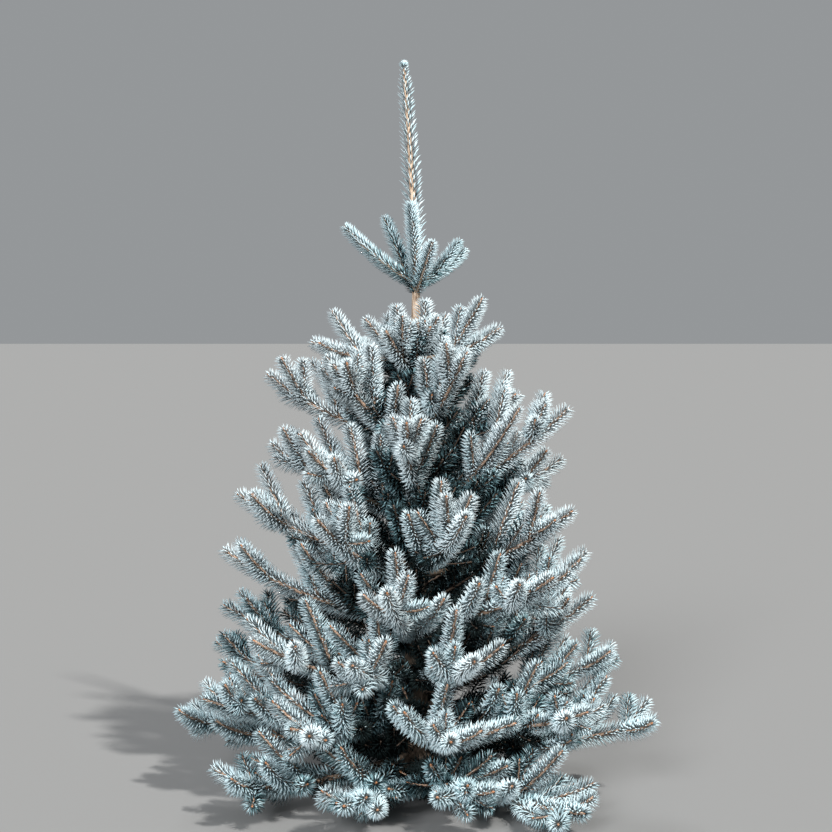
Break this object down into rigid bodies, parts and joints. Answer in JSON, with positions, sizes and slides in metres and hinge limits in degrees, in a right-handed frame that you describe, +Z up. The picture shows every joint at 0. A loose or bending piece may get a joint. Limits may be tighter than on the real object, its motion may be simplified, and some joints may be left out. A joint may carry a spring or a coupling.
{
  "type": "blue spruce tree",
  "caption": "Young conical conifer, silver-blue needles on upturned shoots in tiers from the ground, a whorl of shoots and one long thin leader at the top.",
  "frame": {"origin": "middle of the trunk's flat cut at ground level", "axes": "+Z up the trunk, -Y towards the side that the picture shows, +X to the right in the picture"},
  "size_m": [1.0499, 0.9209, 1.6],
  "materials": {
    "bark": "rough grey-brown bark",
    "needles": "matt silver-blue needles with a waxy bloom"
  },
  "bodies": {
    "root": {"trunk": "bark", "leader_needles": "needles", "foliage_tier1_a": "needles", "foliage_tier1_b": "needles", "foliage_tier1_c": "needles", "foliage_tier1_d": "needles", "foliage_tier2_a": "needles", "foliage_tier2_b": "needles", "foliage_tier2_c": "needles", "foliage_tier2_d": "needles", "foliage_tier2_e": "needles", "foliage_tier2_f": "needles", "foliage_tier3_a": "needles", "foliage_tier3_b": "needles", "foliage_tier3_c": "needles", "foliage_tier3_d": "needles", "foliage_tier3_e": "needles", "foliage_tier4_a": "needles", "foliage_tier4_b": "needles", "foliage_tier4_c": "needles", "foliage_tier4_d": "needles", "foliage_tier4_e": "needles", "foliage_tier4_f": "needles", "foliage_tier5_a": "needles", "foliage_tier5_b": "needles", "foliage_tier5_c": "needles", "foliage_tier5_d": "needles", "foliage_tier5_e": "needles", "foliage_tier5_f": "needles", "foliage_tier6_a": "needles", "foliage_tier6_b": "needles", "foliage_tier6_c": "needles", "foliage_tier6_d": "needles", "foliage_tier6_e": "needles", "foliage_tier6_f": "needles", "foliage_tier7_a": "needles", "foliage_tier7_b": "needles", "foliage_tier7_c": "needles", "foliage_tier7_d": "needles", "foliage_tier7_e": "needles", "foliage_tier7_f": "needles", "foliage_tier7_g": "needles", "foliage_tier8_a": "needles", "foliage_tier8_b": "needles", "foliage_tier8_c": "needles", "foliage_tier8_d": "needles", "foliage_tier8_e": "needles", "foliage_tier8_f": "needles", "foliage_tier8_g": "needles", "bough_tier9_a": "bark", "foliage_tier9_a": "needles", "foliage_tier9_b": "needles", "foliage_tier9_c": "needles", "bough_tier9_d": "bark", "foliage_tier9_d": "needles", "bough_tier9_e": "bark", "foliage_tier9_e": "needles", "foliage_tier9_f": "needles", "foliage_tier9_g": "needles", "foliage_tier9_h": "needles"}
  },
  "joints": []
}
